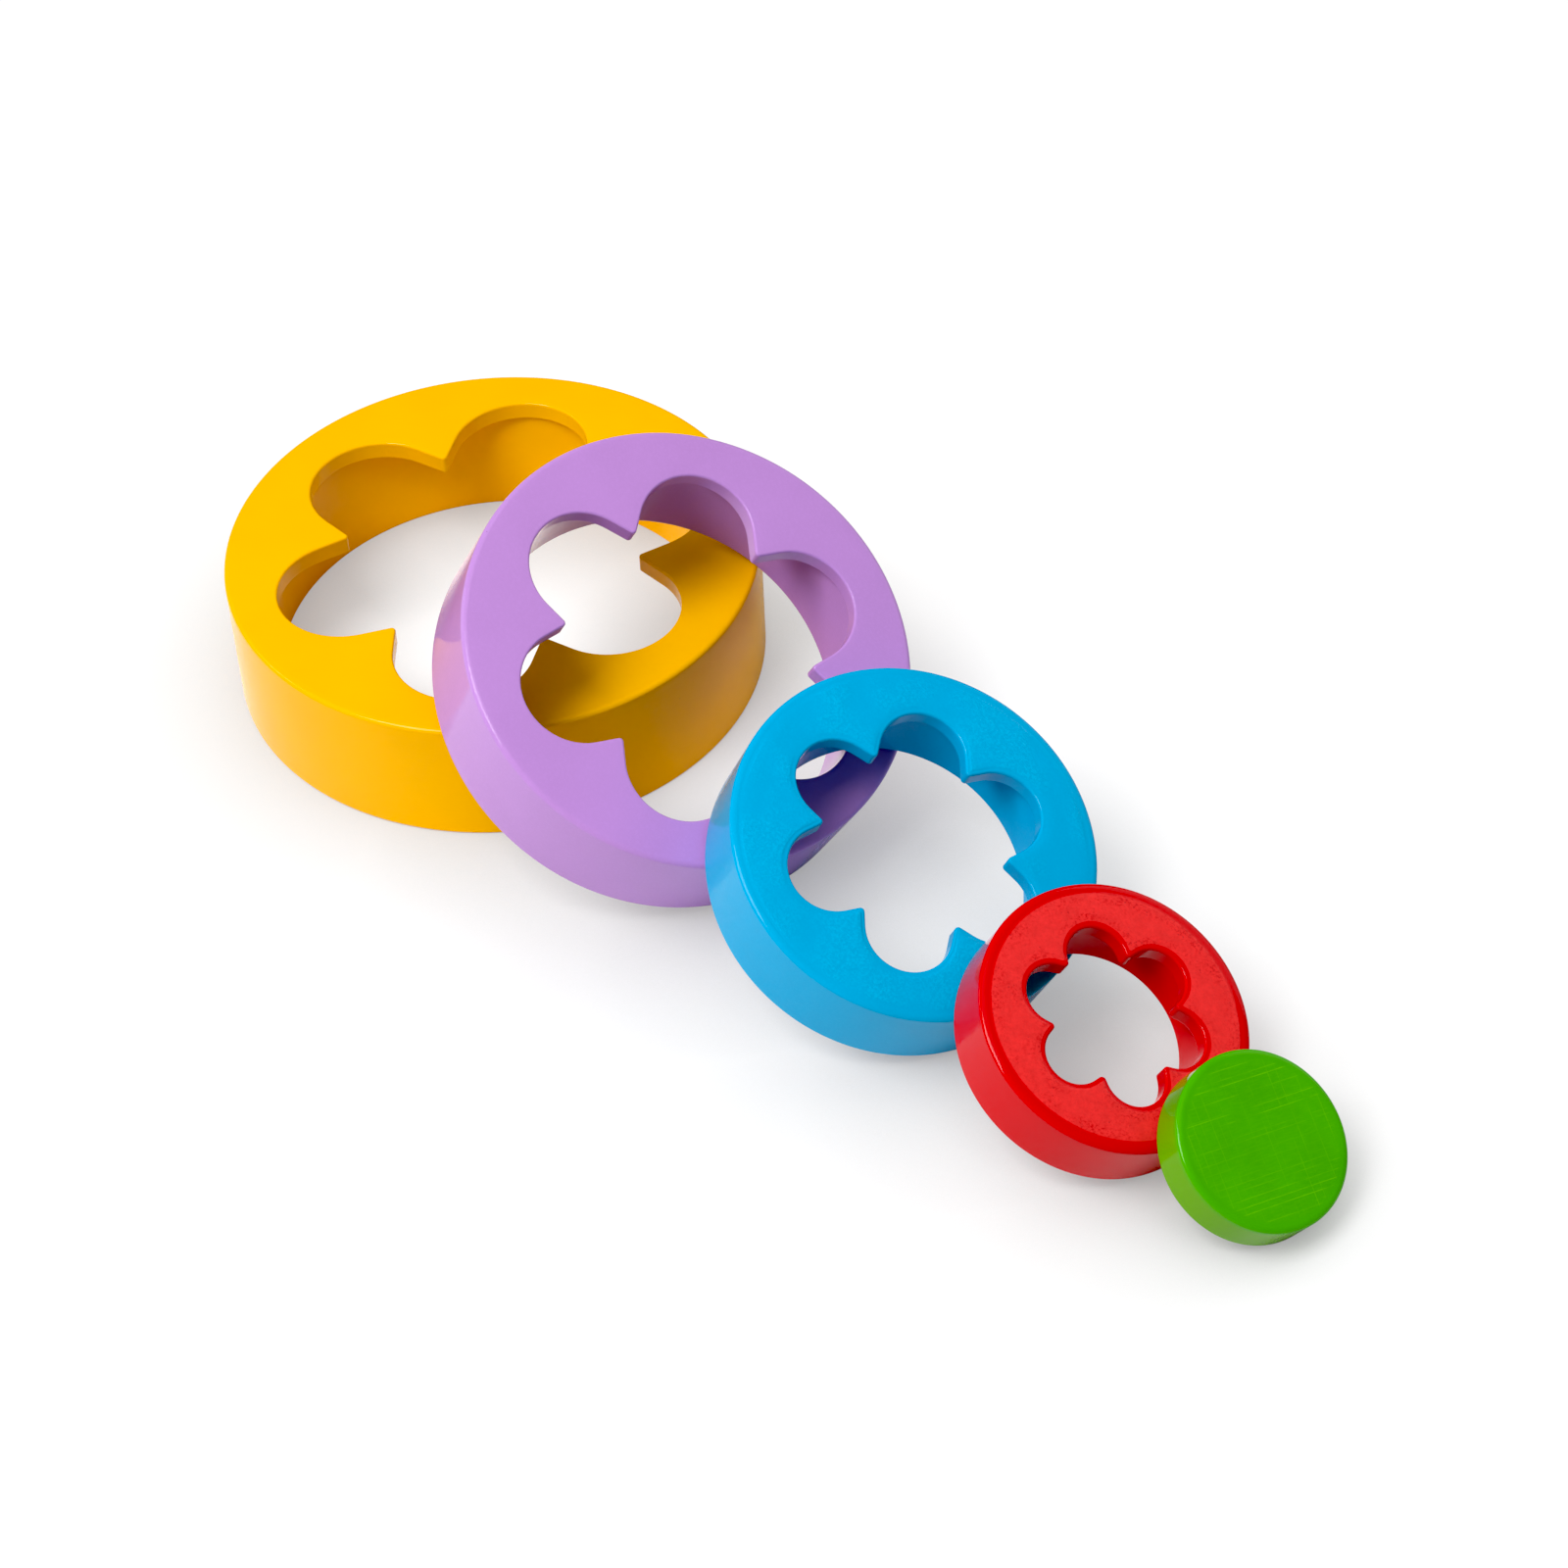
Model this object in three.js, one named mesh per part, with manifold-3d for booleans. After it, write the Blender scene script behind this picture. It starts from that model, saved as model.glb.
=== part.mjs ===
// Stacking ring toy: four flower-cut wooden rings and a solid disc, in millimetres, +Z up.
//
// Every ring is a cup turned upside down: a thin top plate with a six-lobed window, and a round
// bore that opens downwards and takes the next smaller piece. The toy is shown tipped out in a
// row: the largest ring lies flat, and each smaller piece leans on the one before it, with the
// low side of its rim on the floor. +X runs along the row, and the origin is on the floor below
// the middle of the bounding box.
import * as THREE from 'three';
import { mergeVertices } from 'three/addons/utils/BufferGeometryUtils.js';
import Module from 'manifold-3d';

const wasm = await Module();
wasm.setup();

// ---- Driving dimensions ----

const WALL = 11; // wall of every ring, outside to bore
const PLATE = 5; // thickness of every ring's top plate
const LOBES = 6;
const CUSP_ROUND = 1; // radius on the tip of each point between two lobes

const TOP_ROUND = 1.6; // outer top edge
const FOOT_ROUND = 0.8; // outer bottom edge

// radius and height are the outer size. tip is how far a lobe reaches from the axis, lobe is the
// radius of its round end, and cusp is how near the axis the points between the lobes come.
// x, y place the middle of the underside, tilt is the lean from level, heading is the way that
// the top leans to, and spin turns the window: all angles in degrees.
const RINGS = [
  { name: 'yellow_ring', colour: 0xf5bd00, radius: 70, height: 36, tip: 58, lobe: 18, cusp: 38.7,
    x: 0, y: 0, tilt: 0, heading: 0, spin: 8.8 },
  { name: 'purple_ring', colour: 0xba88d8, radius: 58, height: 30.5, tip: 46.4, lobe: 14.8, cusp: 32,
    x: 65.7, y: -3, tilt: 30.8, heading: -0.7, spin: 18.1 },
  { name: 'blue_ring', colour: 0x009fdd, radius: 46, height: 24, tip: 34, lobe: 10.8, cusp: 23.3,
    x: 147.8, y: -2, tilt: 26.5, heading: -0.6, spin: 14.4 },
  { name: 'red_ring', colour: 0xe8181c, radius: 34, height: 17.5, tip: 22.6, lobe: 7.5, cusp: 16.2,
    x: 216, y: -3, tilt: 26.6, heading: 6.9, spin: 28.2 },
];
const DISC = { name: 'green_disc', colour: 0x41aa00, radius: 22, height: 11,
  x: 261.7, y: 0, tilt: 31.2, heading: 5, spin: 0 };

// ---- Facets ----

const ROUND_SEGMENTS = 64; // round a whole piece
const EDGE_STEPS = 3; // across a rounded edge
const LOBE_STEPS = 8; // along half of a lobe's round end
const CUSP_STEPS = 2; // round the tip of a point
const OVERCUT = 1; // how far a cutter runs past the face it opens

// ---- Solids ----

// A closed three.js geometry as a manifold-3d solid, and back.
function toSolid(geometry) {
  const bare = geometry.clone();
  bare.deleteAttribute('normal');
  bare.deleteAttribute('uv');
  const merged = mergeVertices(bare, 1e-5);
  const mesh = new wasm.Mesh({
    numProp: 3,
    vertProperties: new Float32Array(merged.attributes.position.array),
    triVerts: new Uint32Array(merged.index.array),
  });
  return new wasm.Manifold(mesh);
}

function toGeometry(solid) {
  const mesh = solid.getMesh();
  const geometry = new THREE.BufferGeometry();
  geometry.setAttribute('position', new THREE.BufferAttribute(mesh.vertProperties, 3));
  geometry.setIndex(new THREE.BufferAttribute(mesh.triVerts, 1));
  return geometry;
}

// Points of a quarter round, from one angle to another about a centre.
function arcPoints(centreX, centreY, radius, from, to, steps) {
  const points = [];
  for (let i = 0; i <= steps; i += 1) {
    const angle = from + ((to - from) * i) / steps;
    points.push(new THREE.Vector2(
      centreX + radius * Math.cos(angle),
      centreY + radius * Math.sin(angle),
    ));
  }
  return points;
}

// A solid disc with rounded rims, standing on z = 0.
function roundedDisc(radius, height) {
  const quarter = Math.PI / 2;
  const profile = [
    new THREE.Vector2(0, 0),
    ...arcPoints(radius - FOOT_ROUND, FOOT_ROUND, FOOT_ROUND, -quarter, 0, EDGE_STEPS),
    ...arcPoints(radius - TOP_ROUND, height - TOP_ROUND, TOP_ROUND, 0, quarter, EDGE_STEPS),
    new THREE.Vector2(0, height),
  ];
  const lathe = new THREE.LatheGeometry(profile, ROUND_SEGMENTS);
  lathe.rotateX(quarter);
  return lathe;
}

// A plain upright cylinder from z = low to z = high.
function cylinder(radius, low, high) {
  const shape = new THREE.CylinderGeometry(radius, radius, high - low, ROUND_SEGMENTS);
  shape.rotateX(Math.PI / 2);
  shape.translate(0, 0, (low + high) / 2);
  return shape;
}

// One lobe of the window, from the tip of one point to the tip of the next, as points about the
// +X axis. The end of the lobe is an arc, and the tip of a point is a small round. A straight
// side touches them both, so it stands off the lobe's middle by the lobe's radius and passes the
// round's middle on its other side.
function lobeOutline(ring) {
  const half = Math.PI / LOBES;
  const lobeCentre = new THREE.Vector2(ring.tip - ring.lobe, 0);
  const cuspCentre = new THREE.Vector2(Math.cos(half), Math.sin(half))
    .multiplyScalar(ring.cusp + CUSP_ROUND);
  const between = cuspCentre.clone().sub(lobeCentre);
  const square = between.angle() - Math.acos((ring.lobe + CUSP_ROUND) / between.length());
  const upper = [
    ...arcPoints(lobeCentre.x, 0, ring.lobe, 0, square, LOBE_STEPS),
    ...arcPoints(cuspCentre.x, cuspCentre.y, CUSP_ROUND, square + Math.PI, half + Math.PI,
      CUSP_STEPS),
  ];
  const lower = upper.slice(1, -1).map((point) => new THREE.Vector2(point.x, -point.y));
  return [...lower.reverse(), ...upper];
}

// The window's whole outline, extruded from z = low to z = high.
function windowCutter(ring, low, high) {
  const lobe = lobeOutline(ring);
  const outline = [];
  for (let i = 0; i < LOBES; i += 1) {
    const turn = (2 * Math.PI * i) / LOBES;
    lobe.forEach((point) => outline.push(point.clone().rotateAround(new THREE.Vector2(), turn)));
  }
  const cutter = new THREE.ExtrudeGeometry(new THREE.Shape(outline), {
    depth: high - low,
    bevelEnabled: false,
  });
  cutter.translate(0, 0, low);
  return cutter;
}

function ringGeometry(ring) {
  const underPlate = ring.height - PLATE;
  const body = toSolid(roundedDisc(ring.radius, ring.height));
  const bore = toSolid(cylinder(ring.radius - WALL, -OVERCUT, underPlate));
  const window = toSolid(windowCutter(ring, underPlate - OVERCUT, ring.height + OVERCUT));
  return toGeometry(body.subtract(bore).subtract(window));
}

// ---- Placing ----

// Stands a piece in the row. Its low side touches the floor with the rounded foot.
function place(mesh, piece) {
  const tilt = THREE.MathUtils.degToRad(piece.tilt);
  const heading = THREE.MathUtils.degToRad(piece.heading);
  const foot = new THREE.Group();
  const lean = new THREE.Group();
  mesh.rotation.z = THREE.MathUtils.degToRad(piece.spin);
  lean.rotation.y = tilt;
  lean.add(mesh);
  foot.rotation.z = heading;
  const rise = (piece.radius - FOOT_ROUND) * Math.sin(tilt) + FOOT_ROUND * (1 - Math.cos(tilt));
  foot.position.set(piece.x, piece.y, rise);
  foot.add(lean);
  return foot;
}

function lacqueredWood(colour, roughness) {
  return new THREE.MeshStandardMaterial({ color: colour, roughness, metalness: 0 });
}

function build() {
  const toy = new THREE.Group();
  RINGS.forEach((ring) => {
    const mesh = new THREE.Mesh(ringGeometry(ring), lacqueredWood(ring.colour, 0.35));
    mesh.name = ring.name;
    toy.add(place(mesh, ring));
  });
  const disc = new THREE.Mesh(
    toGeometry(toSolid(roundedDisc(DISC.radius, DISC.height))),
    lacqueredWood(DISC.colour, 0.3),
  );
  disc.name = DISC.name;
  toy.add(place(disc, DISC));

  // Middle of the box in X and Y, floor at z = 0.
  toy.updateMatrixWorld(true);
  const box = new THREE.Box3().setFromObject(toy, true);
  toy.position.set(-(box.min.x + box.max.x) / 2, -(box.min.y + box.max.y) / 2, -box.min.z);
  return toy;
}

export default build();
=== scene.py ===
"""Looks for the stacking ring toy: four flower-cut wooden rings and a solid disc, lacquered.

Every piece is built as a smooth mesh in its own frame, with its axis along Z and its underside at
z = 0, and is then stood where its CAD solid stands. Sizes are in millimetres, as in the CAD
source, and are turned into metres by MM.
"""

import math

import bpy
from mathutils import Matrix, Vector


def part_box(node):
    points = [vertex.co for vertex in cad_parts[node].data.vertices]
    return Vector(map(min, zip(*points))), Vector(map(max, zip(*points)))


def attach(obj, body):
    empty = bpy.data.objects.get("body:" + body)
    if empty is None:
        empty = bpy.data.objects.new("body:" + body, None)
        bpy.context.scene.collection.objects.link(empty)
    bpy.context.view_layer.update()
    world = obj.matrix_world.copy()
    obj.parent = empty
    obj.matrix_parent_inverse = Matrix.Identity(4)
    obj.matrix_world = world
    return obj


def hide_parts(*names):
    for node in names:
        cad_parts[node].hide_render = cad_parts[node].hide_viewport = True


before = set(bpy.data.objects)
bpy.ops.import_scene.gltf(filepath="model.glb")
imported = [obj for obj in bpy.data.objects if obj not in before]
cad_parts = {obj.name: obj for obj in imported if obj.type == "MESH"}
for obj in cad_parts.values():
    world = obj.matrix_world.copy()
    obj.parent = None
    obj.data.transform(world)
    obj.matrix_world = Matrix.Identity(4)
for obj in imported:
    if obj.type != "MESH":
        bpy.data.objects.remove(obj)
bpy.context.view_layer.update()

MM = 0.001

# ---- The toy's driving dimensions, in millimetres and degrees ----

WALL = 11.0  # ring wall, outside to bore
PLATE = 5.0  # a ring's top plate
LOBES = 6
CUSP_ROUND = 1.0  # tip of a point between two lobes
FOOT_ROUND = 0.8  # outer bottom edge
BORE_ROUND = 0.6  # bottom edge of the bore
WINDOW_ROUND = 0.65  # top edge of the flower window
UNDER_ROUND = 0.2  # bottom edge of the flower window
CORNER = 0.25  # fillet between the plate and the bore

# tip is how far out a lobe of the window reaches, lobe is the radius of its round end, and cusp is
# how far from the axis the point between two lobes is. x, y, tilt, heading and spin are the
# piece's lie in the row. The outer top edge is rounded over edge_in across the top and edge_down
# down the side, and roll is how far the lacquer drops off the flat top near its edges.
RINGS = [
    dict(node="yellow_ring", body="yellow", radius=70, height=36, tip=58, lobe=18, cusp=38.7,
         x=0, y=0, tilt=0, heading=0, spin=8.8, edge_in=1.3, edge_down=1.1, roll=0.03),
    dict(node="purple_ring", body="purple", radius=58, height=30.5, tip=46.4, lobe=14.8, cusp=32,
         x=65.7, y=-3, tilt=30.8, heading=-0.7, spin=18.1,
         edge_in=1.5, edge_down=1.3, roll=0.04),
    dict(node="blue_ring", body="blue", radius=46, height=24, tip=34, lobe=10.8, cusp=23.3,
         x=147.8, y=-2, tilt=26.5, heading=-0.6, spin=14.4,
         edge_in=1.8, edge_down=1.0, roll=0.2),
    dict(node="red_ring", body="red", radius=34, height=17.5, tip=22.6, lobe=7.5, cusp=16.2,
         x=216, y=-3, tilt=26.6, heading=6.9, spin=28.2,
         edge_in=2.1, edge_down=1.1, roll=0.14),
]
DISC = dict(node="green_disc", body="green", radius=22, height=11,
            x=261.7, y=0, tilt=31.2, heading=5, spin=0, edge_in=1.7, edge_down=1.0, roll=0.05)

# ---- Mesh detail ----

LOBE_STEPS = 18  # half of a lobe's round end
SIDE_STEPS = 6  # a lobe's straight side
CUSP_STEPS = 6  # half of a point's round tip
ROUND_STEPS = 8  # across a rounded edge
BORE_ROUND_STEPS = 4  # across the bore's bottom edge
SMALL_ROUND_STEPS = 3  # across the two roundings under the plate
FLAT_STEPS = 14  # across a ring's top
WALL_STEPS = 8  # up a wall
WINDOW_STEPS = 2  # down the window's wall
UNDER_STEPS = 5  # across the underside of the plate
FOOT_STEPS = 4  # across the ring's foot
DISC_POINTS = 240  # round the disc
DISC_UNDER_STEPS = 10  # from the middle of the disc's underside to its edge
DISC_TOP_STEPS = 30  # from the edge of the disc's top to its middle
DISC_MIDDLE = 0.05  # radius of the smallest loop on the disc's top
SUPPORT = 0.12  # a loop this close to a rounding keeps the flat beside it flat

# The rim attribute is 1 on a rounded outer edge and fades out over RIM_REACH millimetres.
RIM_REACH = 4.0
ROLL_SHARE = 0.7  # the lacquer's drop fades out at this share of RIM_REACH
BORE_RIM = 0.5  # the rim attribute on the bore's bottom edge
FOOT_RIM = 0.3  # and on the foot


def arc(centre, radius, start, stop, steps):
    """Points of an arc about centre, both ends included."""
    angles = [start + (stop - start) * i / steps for i in range(steps + 1)]
    return [Vector((centre[0] + radius * math.cos(a), centre[1] + radius * math.sin(a)))
            for a in angles]


def flipped(v):
    """A point's mirror image across X."""
    return Vector((v.x, -v.y))


def window_outline(ring):
    """The flower window's outline as (point, direction into the wood) pairs, once round."""
    half = math.pi / LOBES
    lobe_centre = Vector((ring["tip"] - ring["lobe"], 0))
    cusp_centre = Vector((math.cos(half), math.sin(half))) * (ring["cusp"] + CUSP_ROUND)
    between = cusp_centre - lobe_centre
    bearing = math.atan2(between.y, between.x)
    square = bearing - math.acos((ring["lobe"] + CUSP_ROUND) / between.length)
    out = Vector((math.cos(square), math.sin(square)))

    upper = []
    for point in arc(lobe_centre, ring["lobe"], 0, square, LOBE_STEPS):
        upper.append((point, (point - lobe_centre).normalized()))
    side_start = lobe_centre + out * ring["lobe"]
    side_stop = cusp_centre - out * CUSP_ROUND
    for i in range(1, SIDE_STEPS):
        upper.append((side_start.lerp(side_stop, i / SIDE_STEPS), out))
    for point in arc(cusp_centre, CUSP_ROUND, square + math.pi, half + math.pi, CUSP_STEPS):
        upper.append((point, (cusp_centre - point).normalized()))

    lobe = [(flipped(p), flipped(d)) for p, d in reversed(upper[1:-1])] + upper
    outline = []
    for i in range(LOBES):
        turn = Matrix.Rotation(2 * math.pi * i / LOBES, 2)
        outline += [(turn @ p, turn @ d) for p, d in lobe]
    return outline


def quarter(steps=ROUND_STEPS):
    """Angles from 0 to a right angle."""
    return [math.pi / 2 * i / steps for i in range(steps + 1)]


def smooth_step(share):
    """0..1 with a level start and end."""
    return share * share * (3 - 2 * share)


def roll_off(shape, distance):
    """How far the lacquered top has dropped at this distance in from an edge."""
    reach = RIM_REACH * ROLL_SHARE
    near = max(0.0, 1 - distance / reach)
    return shape["roll"] * near * near


def rim_strength(distance):
    """The rim attribute at this distance from an edge."""
    return smooth_step(max(0.0, 1 - distance / RIM_REACH))


def add_loop(loops, points, z, rim):
    """One closed loop of a loft. z and rim are one number each, or one for each point."""
    count = len(points)
    heights = z if isinstance(z, list) else [z] * count
    rims = rim if isinstance(rim, list) else [rim] * count
    loops.append([(p.x, p.y, h, r) for p, h, r in zip(points, heights, rims)])


def add_top(loops, ring, rim_points, inner_points):
    """The flat top, from just inside the outer rounding to just outside the window's."""
    height = ring["height"]
    for i in range(FLAT_STEPS + 1):
        share = smooth_step(i / FLAT_STEPS)
        points = [a.lerp(b, share) for a, b in zip(rim_points, inner_points)]
        near = [min((p - a).length, (p - b).length)
                for p, a, b in zip(points, rim_points, inner_points)]
        add_loop(loops, points, [height - roll_off(ring, d) for d in near],
                 [rim_strength(d) for d in near])


def circle_like(outline, radius):
    """A circle with a point at the same angle as each point of the outline."""
    return [p.normalized() * radius for p, _ in outline]


def outer_wall(loops, shape, ray):
    """From the foot rounding, up the outer wall, to the end of the top rounding. ray(r) gives
    the points of a circle of radius r."""
    radius, edge_in, edge_down = shape["radius"], shape["edge_in"], shape["edge_down"]
    for a in quarter():
        add_loop(loops, ray(radius - FOOT_ROUND + FOOT_ROUND * math.sin(a)),
                 FOOT_ROUND - FOOT_ROUND * math.cos(a), 1.0)
    shoulder = shape["height"] - roll_off(shape, 0) - edge_down
    low, high = FOOT_ROUND + SUPPORT, shoulder - SUPPORT
    for i in range(WALL_STEPS + 1):
        z = low + (high - low) * i / WALL_STEPS
        add_loop(loops, ray(radius), z, rim_strength(min(z, shoulder - z)))
    for a in quarter():
        add_loop(loops, ray(radius - edge_in + edge_in * math.cos(a)),
                 shoulder + edge_down * math.sin(a), 1.0)


def plate_loops(loops, window, ray, top, under, bore):
    """From the window's top edge, down and under the plate, to the corner with the bore.
    window(offset) gives the points of the flower outline, moved this far into the wood."""
    for a in quarter():
        add_loop(loops, window(WINDOW_ROUND * (1 - math.sin(a))),
                 top - WINDOW_ROUND * (1 - math.cos(a)), 1.0)
    high, low = top - WINDOW_ROUND - SUPPORT, under + UNDER_ROUND + SUPPORT
    for i in range(WINDOW_STEPS + 1):
        add_loop(loops, window(0), high + (low - high) * i / WINDOW_STEPS, 1.0)
    for a in quarter(SMALL_ROUND_STEPS):
        add_loop(loops, window(UNDER_ROUND * (1 - math.cos(a))),
                 under + UNDER_ROUND * (1 - math.sin(a)), 1.0)
    edge, corner = window(UNDER_ROUND), ray(bore - CORNER)
    for i in range(1, UNDER_STEPS):
        add_loop(loops, [a.lerp(b, i / UNDER_STEPS) for a, b in zip(edge, corner)], under, 0.0)
    for a in quarter(SMALL_ROUND_STEPS):
        add_loop(loops, ray(bore - CORNER * (1 - math.sin(a))),
                 under - CORNER * (1 - math.cos(a)), 0.0)


def bore_and_foot_loops(loops, ray, under, bore, radius):
    """Down the bore and across the foot, to just inside the foot's outer rounding."""
    low, high = BORE_ROUND + SUPPORT, under - CORNER - SUPPORT
    for i in range(WALL_STEPS + 1):
        add_loop(loops, ray(bore), high + (low - high) * i / WALL_STEPS, 0.0)
    for a in quarter(BORE_ROUND_STEPS):
        add_loop(loops, ray(bore + BORE_ROUND * (1 - math.cos(a))),
                 BORE_ROUND * (1 - math.sin(a)), BORE_RIM)
    foot_in, foot_out = bore + BORE_ROUND + SUPPORT, radius - FOOT_ROUND - SUPPORT
    for i in range(FOOT_STEPS + 1):
        add_loop(loops, ray(foot_in + (foot_out - foot_in) * i / FOOT_STEPS), 0.0, FOOT_RIM)


def ring_loops(ring):
    """Loops round the ring's whole section: wall, top, window, plate, bore and foot."""
    outline = window_outline(ring)
    height, radius, bore = ring["height"], ring["radius"], ring["radius"] - WALL

    def ray(r):
        return circle_like(outline, r)

    def window(offset):
        return [p + d * offset for p, d in outline]

    loops = []
    outer_wall(loops, ring, ray)
    add_top(loops, ring, ray(radius - ring["edge_in"] - SUPPORT), window(WINDOW_ROUND + SUPPORT))
    plate_loops(loops, window, ray, height - roll_off(ring, 0), height - PLATE, bore)
    bore_and_foot_loops(loops, ray, height - PLATE, bore, radius)
    return loops


def disc_loops(disc):
    """Loops over the disc, from near the middle of its underside to near the middle of its top."""
    angles = [2 * math.pi * i / DISC_POINTS for i in range(DISC_POINTS)]
    turns = [Vector((math.cos(a), math.sin(a))) for a in angles]

    def ray(r):
        return [t * r for t in turns]

    radius = disc["radius"]
    loops = []
    for i in range(1, DISC_UNDER_STEPS + 1):
        add_loop(loops, ray((radius - FOOT_ROUND - SUPPORT) * i / DISC_UNDER_STEPS), 0.0, FOOT_RIM)
    outer_wall(loops, disc, ray)
    flat = radius - disc["edge_in"] - SUPPORT
    for i in range(DISC_TOP_STEPS + 1):
        r = flat * (1 - i / DISC_TOP_STEPS) + DISC_MIDDLE
        add_loop(loops, ray(r), disc["height"] - roll_off(disc, flat - r), rim_strength(flat - r))
    return loops


def loft(name, loops, closed, place):
    """A smooth mesh object through the loops, stood in its place. closed joins the last loop to
    the first one, and otherwise both ends are filled with a fan. The attribute "own" keeps each
    point's position in the piece's own frame, for its material."""
    count = len(loops[0])
    verts = [Vector((x, y, z)) * MM for loop in loops for x, y, z, _ in loop]
    rims = [rim for loop in loops for _, _, _, rim in loop]
    faces = []
    for j in range(len(loops) if closed else len(loops) - 1):
        here, there = j * count, (j + 1) % len(loops) * count
        for i in range(count):
            k = (i + 1) % count
            faces.append((here + i, here + k, there + k, there + i))
    if not closed:
        for start, rising in ((0, False), ((len(loops) - 1) * count, True)):
            middle = len(verts)
            verts.append(Vector((0, 0, verts[start].z)))
            rims.append(rims[start])
            for i in range(count):
                a, b = start + i, start + (i + 1) % count
                faces.append((a, b, middle) if rising else (b, a, middle))
    mesh = bpy.data.meshes.new(name)
    mesh.from_pydata([place @ v for v in verts], [], faces)
    mesh.shade_smooth()
    rim = mesh.attributes.new("rim", "FLOAT", "POINT")
    rim.data.foreach_set("value", rims)
    own = mesh.attributes.new("own", "FLOAT_VECTOR", "POINT")
    own.data.foreach_set("vector", [c for v in verts for c in v])
    piece = bpy.data.objects.new(name, mesh)
    bpy.context.scene.collection.objects.link(piece)
    return piece


def placement(shape, row_start):
    """Leans a piece as its CAD solid leans, with its low side on the floor."""
    tilt = math.radians(shape["tilt"])
    rise = (shape["radius"] - FOOT_ROUND) * math.sin(tilt) + FOOT_ROUND * (1 - math.cos(tilt))
    place = row_start + Vector((shape["x"], shape["y"], rise)) * MM
    return (
        Matrix.Translation(place)
        @ Matrix.Rotation(math.radians(shape["heading"]), 4, "Z")
        @ Matrix.Rotation(tilt, 4, "Y")
        @ Matrix.Rotation(math.radians(shape["spin"]), 4, "Z")
    )


# ---- Materials ----

# Sizes and depths are in millimetres here too, and angles in degrees. Most of a noise's values lie
# between 0.3 and 0.7, so the spans over noise say where in that range a patch starts and ends.

LACQUER_SPECULAR = 0.16
SPECK_CORE = 0.6  # share of a speck's radius that is solid
LINE_CORE = 0.3  # share of a line's width that is solid
FACE_DROP = 0.3  # the face mask ends this far below the rolled edge of the top

# A Mix node's colour sockets, which share their names with its number and vector sockets.
MIX_SHARE = 0
MIX_A = 6
MIX_B = 7
MIX_RESULT = 2


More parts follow.
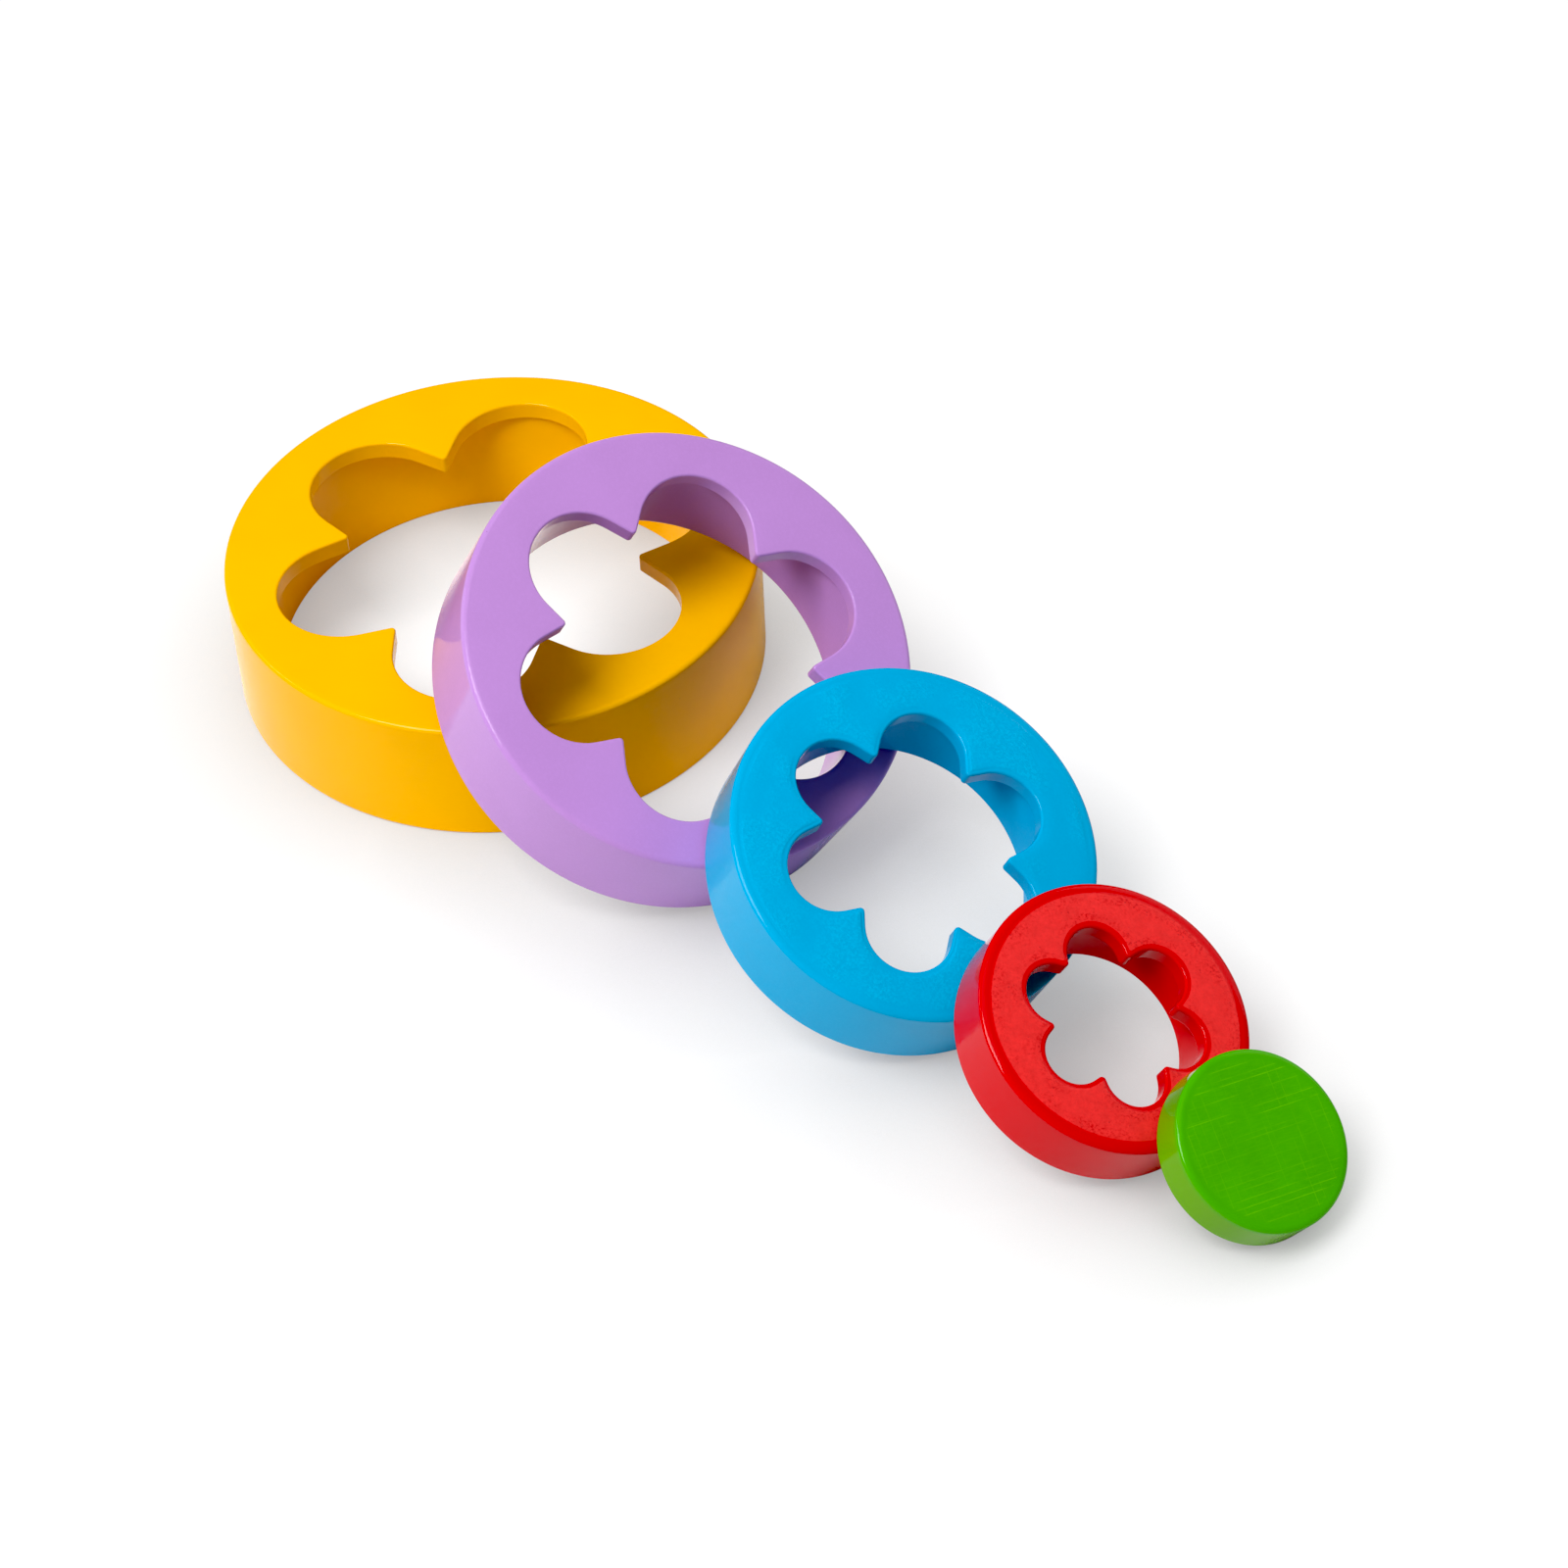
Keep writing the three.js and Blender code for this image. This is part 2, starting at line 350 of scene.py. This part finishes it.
class Nodes:
    """Short calls for building one material's node tree."""

    def __init__(self, name, shape=None, specular=LACQUER_SPECULAR):
        self.shape = shape
        self.material = bpy.data.materials.new(name)
        self.material.use_nodes = True
        self.tree = self.material.node_tree
        self.tree.nodes.clear()
        self.output = self.tree.nodes.new("ShaderNodeOutputMaterial")
        self.shader = self.tree.nodes.new("ShaderNodeBsdfPrincipled")
        self.shader.inputs["Specular IOR Level"].default_value = specular
        self.link(self.shader.outputs["BSDF"], self.output.inputs["Surface"])
        coordinates = self.tree.nodes.new("ShaderNodeAttribute")
        coordinates.attribute_name = "own"
        self.place = coordinates.outputs["Vector"]

    def link(self, source, target):
        self.tree.links.new(source, target)

    def surface(self, name, value):
        """Links or sets one input of the shader."""
        self.put(value, self.shader.inputs[name])

    def put(self, value, socket):
        """Links a socket, or sets a plain value."""
        if isinstance(value, bpy.types.NodeSocket):
            self.link(value, socket)
        else:
            socket.default_value = value

    def along(self, turn, stretch=1.0):
        """The piece's own coordinates with X turned to this angle about its axis, and drawn out
        along that direction."""
        node = self.tree.nodes.new("ShaderNodeMapping")
        node.vector_type = "TEXTURE"
        node.inputs["Rotation"].default_value = (0, 0, math.radians(turn))
        node.inputs["Scale"].default_value = (stretch, 1, 1)
        self.link(self.place, node.inputs["Vector"])
        return node.outputs["Vector"]

    def axis(self, vector, index):
        """One coordinate of a vector."""
        node = self.tree.nodes.new("ShaderNodeSeparateXYZ")
        self.link(vector, node.inputs["Vector"])
        return node.outputs[index]

    def below_top(self, start, stop):
        """0 at start and 1 at stop, both counted down from the piece's top, held past them."""
        height = self.shape["height"]
        return self.span(self.axis(self.place, 2), (height - start) * MM, (height - stop) * MM)

    def face(self, soft=0.8):
        """1 on the flat top, 0 on its rounded edges and below. A lower soft is a slower fade."""
        drop = self.shape["roll"] + FACE_DROP
        high = self.below_top(drop, drop / 2)
        inside = self.span(self.rim(), soft, 1.0, to_low=1.0, to_high=0.0, smooth=True)
        return self.math("MULTIPLY", high, inside)

    def noise(self, size, detail=2.0, rough=0.5, vector=None):
        """Noise with features about this size in millimetres."""
        node = self.tree.nodes.new("ShaderNodeTexNoise")
        node.inputs["Scale"].default_value = 1 / (size * MM)
        node.inputs["Detail"].default_value = detail
        node.inputs["Roughness"].default_value = rough
        self.link(vector or self.place, node.inputs["Vector"])
        return node.outputs["Fac"]

    def cells(self, size):
        """Voronoi cells of about this size in millimetres: (distance, random colour)."""
        node = self.tree.nodes.new("ShaderNodeTexVoronoi")
        node.inputs["Scale"].default_value = 1 / (size * MM)
        self.link(self.place, node.inputs["Vector"])
        return node.outputs["Distance"], node.outputs["Color"]

    def span(self, value, low, high, to_low=0.0, to_high=1.0, smooth=False):
        """Maps low..high onto to_low..to_high, held at both ends."""
        node = self.tree.nodes.new("ShaderNodeMapRange")
        node.interpolation_type = "SMOOTHSTEP" if smooth else "LINEAR"
        self.put(value, node.inputs["Value"])
        node.inputs["From Min"].default_value = low
        node.inputs["From Max"].default_value = high
        node.inputs["To Min"].default_value = to_low
        node.inputs["To Max"].default_value = to_high
        return node.outputs["Result"]

    def math(self, operation, a, b):
        """One sum on two numbers."""
        node = self.tree.nodes.new("ShaderNodeMath")
        node.operation = operation
        self.put(a, node.inputs[0])
        self.put(b, node.inputs[1])
        return node.outputs["Value"]

    def mix(self, share, a, b):
        """Mixes two colours."""
        node = self.tree.nodes.new("ShaderNodeMix")
        node.data_type = "RGBA"
        self.put(share, node.inputs[MIX_SHARE])
        self.put(a, node.inputs[MIX_A])
        self.put(b, node.inputs[MIX_B])
        return node.outputs[MIX_RESULT]

    def first(self, colour):
        """The first channel of a colour."""
        node = self.tree.nodes.new("ShaderNodeSeparateColor")
        self.link(colour, node.inputs[0])
        return node.outputs[0]

    def rim(self):
        """1 on the rounded outer edges, fading out over the faces beside them."""
        node = self.tree.nodes.new("ShaderNodeAttribute")
        node.attribute_name = "rim"
        return node.outputs["Fac"]

    def bump(self, height, depth, below=None):
        """A bump whose full height is depth millimetres, on top of another bump."""
        node = self.tree.nodes.new("ShaderNodeBump")
        node.inputs["Distance"].default_value = depth * MM
        node.inputs["Strength"].default_value = 1.0
        self.link(height, node.inputs["Height"])
        if below is not None:
            self.link(below, node.inputs["Normal"])
        return node.outputs["Normal"]


def specks(n, size, radius, share):
    """A mask of sparse round specks: 1 on a speck. share is how many of the cells have one."""
    distance, random = n.cells(size)
    reach = radius / size
    spot = n.span(distance, reach * SPECK_CORE, reach, to_low=1.0, to_high=0.0)
    chosen = n.math("GREATER_THAN", n.first(random), 1 - share)
    return n.math("MULTIPLY", spot, chosen)


def scaled(colour, factor):
    """A colour made lighter or darker."""
    return tuple(min(1.0, c * factor) for c in colour[:3]) + (1.0,)


def tinted(n, base, drift, amount):
    """A base colour that drifts lighter and darker over patches drift millimetres across."""
    patches = n.span(n.noise(drift), 0.35, 0.65)
    return n.mix(patches, scaled(base, 1 - amount), scaled(base, 1 + amount))


def lacquer_bump(n, peel_size, peel_depth, grain_size, grain_depth):
    """Orange peel under a finer grain."""
    peel = n.bump(n.noise(peel_size, detail=1), peel_depth)
    return n.bump(n.noise(grain_size), grain_depth, peel)


def roughness(n, size, low, high):
    """Roughness that drifts between low and high over patches of this size."""
    n.surface("Roughness", n.span(n.noise(size), 0.3, 0.7, low, high))


def yellow_lacquer(shape):
    """Smooth gloss with a faint streak one way and a little dust."""
    n = Nodes("yellow_lacquer", shape, specular=0.13)
    base = (0.865, 0.43, 0.0, 1.0)
    dust_colour = (0.22, 0.10, 0.0, 1.0)
    streaks = n.noise(0.7, detail=3, rough=0.7, vector=n.along(35, stretch=9))
    dust = n.math("MULTIPLY", specks(n, size=7, radius=0.22, share=0.14), 0.6)
    colour = tinted(n, base, drift=26, amount=0.02)
    colour = n.mix(n.span(streaks, 0.45, 0.75, to_high=0.07), colour, scaled(base, 0.8))
    n.surface("Base Color", n.mix(dust, colour, dust_colour))
    roughness(n, size=6, low=0.13, high=0.2)
    n.surface("Normal", lacquer_bump(n, peel_size=1.6, peel_depth=0.006,
                                     grain_size=0.4, grain_depth=0.002))
    return n.material


def purple_lacquer(shape):
    """Smooth gloss with a fine paler grain and a little dust."""
    n = Nodes("purple_lacquer", shape)
    base = (0.46, 0.235, 0.585, 1.0)
    dust_colour = (0.12, 0.04, 0.16, 1.0)
    fine = n.noise(0.7, detail=3, rough=0.7)
    dust = n.math("MULTIPLY", specks(n, size=8, radius=0.2, share=0.12), 0.45)
    colour = tinted(n, base, drift=22, amount=0.02)
    colour = n.mix(n.span(fine, 0.45, 0.7, to_high=0.2), colour, scaled(base, 1.2))
    n.surface("Base Color", n.mix(dust, colour, dust_colour))
    roughness(n, size=5, low=0.06, high=0.1)
    n.surface("Normal", lacquer_bump(n, peel_size=1.3, peel_depth=0.007,
                                     grain_size=0.35, grain_depth=0.003))
    return n.material


def blue_lacquer(shape):
    """Gloss with paler specks painted in as the sheen its orange peel reflects, thickest in patches
    on the top where the grain is stronger.
    """
    n = Nodes("blue_lacquer", shape, specular=0.11)
    base = (0.0, 0.34, 0.625, 1.0)
    # The paler blue paints in the sheen that glints off the orange peel. The patches below are
    # where that painted sheen and the bump are strongest.
    sheen_colour = (0.02, 0.44, 0.74, 1.0)
    sheen_patches = n.math("MULTIPLY", n.span(n.noise(15), 0.42, 0.58), n.face())
    fine = n.noise(0.7, detail=3, rough=0.7)
    strength = n.span(sheen_patches, 0, 1, to_low=0.15, to_high=0.6)
    grain = n.math("MULTIPLY", n.span(fine, 0.42, 0.66), strength)
    colour = tinted(n, base, drift=18, amount=0.02)
    # Paler specks all over, thickest in the patches: a painted sheen.
    n.surface("Base Color", n.mix(grain, colour, sheen_colour))
    roughness(n, size=4, low=0.1, high=0.15)
    peel = n.bump(n.noise(1.1), depth=0.006)
    n.surface("Normal", n.bump(n.math("MULTIPLY", fine, sheen_patches), depth=0.2, below=peel))
    return n.material


def red_face_colour(n, fine, patchy):
    """The red ring's top: blotchy, with dirt that gathers near the edges, and paler than the rim, a
    painted haze of light reflected off its matt lacquer.
    """
    # The pale colour paints in the whitish haze of light that the matt top reflects. The rim and
    # sides keep the deep colour.
    pale = (0.77, 0.037, 0.036, 1.0)
    dirt_colour = (0.48, 0.002, 0.006, 1.0)
    blotch = n.span(n.noise(3.2, detail=5, rough=0.8), 0.36, 0.64)
    clean = n.mix(blotch, scaled(pale, 0.90), scaled(pale, 1.07))
    near_edge = n.span(n.rim(), 0.02, 0.3, to_low=0.4, to_high=1.0)
    dirt = n.math("MULTIPLY", n.span(fine, 0.5, 0.6, to_high=0.8), near_edge)
    dirt = n.math("MULTIPLY", dirt, n.span(patchy, 0, 1, to_low=0.35, to_high=1.0))
    return n.mix(dirt, clean, dirt_colour)


def red_lacquer(shape):
    """A matt, mottled and pitted top, paler with a painted haze of reflected light, inside a deeper
    gloss rim and sides.
    """
    n = Nodes("red_lacquer", shape)
    deep = (0.60, 0.001, 0.004, 1.0)
    pit_colour = (0.25, 0.0, 0.01, 1.0)
    face = n.face(soft=0.85)
    fine = n.noise(0.75, detail=4, rough=0.85)
    patchy = n.span(n.noise(9), 0.42, 0.6)
    pits = n.math("MULTIPLY", specks(n, size=1.2, radius=0.26, share=0.45), face)
    pits = n.math("MULTIPLY", pits, patchy)
    colour = n.mix(face, deep, red_face_colour(n, fine, patchy))
    n.surface("Base Color", n.mix(n.math("MULTIPLY", pits, 0.5), colour, pit_colour))
    n.surface("Roughness", n.span(face, 0, 1, to_low=0.06, to_high=0.32))
    peel = n.bump(n.noise(1.6), depth=0.006)
    grain = n.bump(n.math("MULTIPLY", fine, face), depth=0.07, below=peel)
    n.surface("Normal", n.bump(n.math("SUBTRACT", 1.0, pits), depth=0.05, below=grain))
    return n.material


def saw_lines(n, turn, spacing, width, strength):
    """Fine straight lines across a face at this angle, unevenly spaced, each fainter in places."""
    node = n.tree.nodes.new("ShaderNodeTexVoronoi")
    node.voronoi_dimensions = "1D"
    node.inputs["Scale"].default_value = 1 / (spacing * MM)
    n.link(n.axis(n.along(turn), 1), node.inputs["W"])
    reach = width / spacing
    line = n.span(node.outputs["Distance"], reach * LINE_CORE, reach, to_low=1.0, to_high=0.0)
    own = n.span(n.first(node.outputs["Color"]), 0.1, 0.9, to_low=0.25, to_high=1.0)
    breaks = n.noise(3.0, detail=3, rough=0.6, vector=n.along(turn, stretch=3))
    line = n.math("MULTIPLY", line, own)
    line = n.math("MULTIPLY", line, n.span(breaks, 0.38, 0.58))
    return n.math("MULTIPLY", line, strength)


def green_lacquer(shape):
    """Gloss over a face with two crossed sets of fine lines, and sides of a yellower green, a
    painted reflection of the red ring.
    """
    n = Nodes("green_lacquer", shape)
    base = (0.063, 0.375, 0.0, 1.0)
    bright = (0.17, 0.56, 0.0, 1.0)
    # The sides' yellower green paints in the red ring's reflection.
    side = (0.12, 0.34, 0.0, 1.0)
    face = n.face()
    weave = n.noise(0.5, detail=3, rough=0.7, vector=n.along(68, stretch=5))
    weave = n.math("MULTIPLY", n.span(weave, 0.4, 0.7, to_high=0.13), face)
    long_lines = saw_lines(n, turn=68, spacing=2.1, width=0.15, strength=0.6)
    cross_lines = saw_lines(n, turn=-24, spacing=2.6, width=0.13, strength=0.4)
    lines = n.math("MULTIPLY", n.math("MAXIMUM", long_lines, cross_lines), face)
    colour = n.mix(n.below_top(0.6, 2.4), tinted(n, base, drift=12, amount=0.04), side)
    colour = n.mix(weave, colour, bright)
    n.surface("Base Color", n.mix(lines, colour, bright))
    n.surface("Roughness", 0.09)
    peel = n.bump(n.noise(1.2, detail=1), depth=0.006)
    n.surface("Normal", n.bump(lines, depth=0.02, below=peel))
    return n.material


FINISHES = dict(yellow_ring=yellow_lacquer, purple_ring=purple_lacquer, blue_ring=blue_lacquer,
                red_ring=red_lacquer, green_disc=green_lacquer)


def build_pieces():
    """All five pieces, in the row that starts at the yellow ring's middle, which is returned."""
    low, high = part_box("yellow_ring")
    row_start = Vector(((low.x + high.x) / 2, (low.y + high.y) / 2, 0))
    for shape in RINGS + [DISC]:
        is_ring = shape is not DISC
        loops = ring_loops(shape) if is_ring else disc_loops(shape)
        finish = FINISHES[shape["node"]]
        piece = loft(shape["node"] + "_lacquered", loops, is_ring, placement(shape, row_start))
        piece.data.materials.append(finish(shape))
        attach(piece, shape["body"])
        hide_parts(shape["node"])
    return row_start


# ---- Stage, camera and light: lengths are in metres, unless a comment says otherwise ----

FLOOR_HALF = 4.0
FLOOR_BOUNCE = (0.88, 0.88, 0.88, 1.0)  # the paper as it lights the toy
FLOOR_SEEN = (0.26, 0.26, 0.26, 1.0)  # the paper as the camera sees it, with the glow added
GLOW_REACH = 0.045  # how far away a wall still dims the floor's glow, as a painted contact shadow
GLOW_SAMPLES = 12
GLOW_SHUT = 0.36  # the glow where the floor is hemmed in
GLOW_OPEN = 0.75  # the glow in the open

VIEW_AZIMUTH = math.radians(47.7)  # the camera's heading, turned from +Y towards -X
VIEW_ELEVATION = math.radians(44.92)
VIEW_ROLL = math.radians(-2.26)
CAMERA_PLACE = (620.65, -456.87, 709.35)  # millimetres from the start of the row
CAMERA_SHIFT = (-0.0154, -0.0024)
SENSOR = 36.0  # millimetres
LENS = 89.66  # millimetres

# azimuth is counted from +X to +Y, in degrees as elevation is, and power is in watts.
LIGHTS = [
    dict(name="key", azimuth=265, elevation=60, distance=1.5, size=0.7, power=22.5),
    dict(name="left_strip", azimuth=212, elevation=38, distance=1.5, size=0.4, power=2.5),
    dict(name="overhead", azimuth=0, elevation=88, distance=1.6, size=1.0, power=3.5),
    dict(name="far_fill", azimuth=85, elevation=28, distance=1.8, size=1.2, power=6.5),
]
WORLD_STRENGTH = 0.2
BLACK_LEVEL = 0.02


def floor_paper():
    """White paper, which glows for the camera alone, a painted light, and less so beside a wall, a
    painted contact shadow.
    """
    n = Nodes("floor_paper", specular=0.0)
    n.surface("Roughness", 0.9)
    seen = n.tree.nodes.new("ShaderNodeLightPath").outputs["Is Camera Ray"]
    n.surface("Base Color", n.mix(seen, FLOOR_BOUNCE, FLOOR_SEEN))
    openness = n.tree.nodes.new("ShaderNodeAmbientOcclusion")
    openness.samples = GLOW_SAMPLES
    openness.inputs["Distance"].default_value = GLOW_REACH
    glow = n.span(openness.outputs["AO"], 0.3, 1, GLOW_SHUT, GLOW_OPEN)
    n.surface("Emission Color", (1, 1, 1, 1))
    n.surface("Emission Strength", n.math("MULTIPLY", glow, seen))
    return n.material


def build_floor():
    """A square of paper under the toy."""
    corners = [(x * FLOOR_HALF, y * FLOOR_HALF, 0) for x, y in ((-1, -1), (1, -1), (1, 1), (-1, 1))]
    mesh = bpy.data.meshes.new("floor")
    mesh.from_pydata(corners, [], [(0, 1, 2, 3)])
    mesh.materials.append(floor_paper())
    floor = bpy.data.objects.new("floor", mesh)
    bpy.context.scene.collection.objects.link(floor)


def view_axes():
    """Right, up and forward of the camera, in the row's frame."""
    turn = Matrix.Rotation(VIEW_AZIMUTH, 3, "Z")
    forward = turn @ Vector((0, math.cos(VIEW_ELEVATION), -math.sin(VIEW_ELEVATION)))
    right = turn @ Vector((1, 0, 0))
    up = right.cross(forward)
    roll = Matrix.Rotation(-VIEW_ROLL, 3, forward)
    return roll @ right, roll @ up, forward


def build_camera(row_start):
    """The camera, placed from the start of the row."""
    right, up, forward = view_axes()
    data = bpy.data.cameras.new("camera")
    data.sensor_width = SENSOR
    data.lens = LENS
    data.shift_x, data.shift_y = CAMERA_SHIFT
    camera = bpy.data.objects.new("camera", data)
    place = row_start + Vector(CAMERA_PLACE) * MM
    axes = Matrix((right, up, -forward)).transposed().to_4x4()
    camera.matrix_world = Matrix.Translation(place) @ axes
    bpy.context.scene.collection.objects.link(camera)
    bpy.context.scene.camera = camera


def soft_box(name, azimuth, elevation, distance, size, power):
    """A square area light at this bearing, turned towards the middle of the toy."""
    data = bpy.data.lights.new(name, "AREA")
    data.shape = "SQUARE"
    data.size = size
    data.energy = power
    light = bpy.data.objects.new(name, data)
    turn, rise = math.radians(azimuth), math.radians(elevation)
    away = Vector((math.cos(turn) * math.cos(rise), math.sin(turn) * math.cos(rise),
                   math.sin(rise)))
    light.location = away * distance
    light.rotation_euler = away.to_track_quat("Z", "Y").to_euler()
    bpy.context.scene.collection.objects.link(light)


def build_world():
    """An even white surround."""
    world = bpy.data.worlds.new("studio")
    world.use_nodes = True
    background = world.node_tree.nodes["Background"]
    background.inputs["Color"].default_value = (1, 1, 1, 1)
    background.inputs["Strength"].default_value = WORLD_STRENGTH
    bpy.context.scene.world = world


def set_tones():
    """A plain view with the darkest tones taken down a little."""
    show = bpy.context.scene.view_settings
    show.view_transform = "Standard"
    show.use_curve_mapping = True
    show.curve_mapping.black_level = (BLACK_LEVEL, BLACK_LEVEL, BLACK_LEVEL)
    show.curve_mapping.update()


row_start = build_pieces()
build_floor()
build_camera(row_start)
for light in LIGHTS:
    soft_box(**light)
build_world()
set_tones()
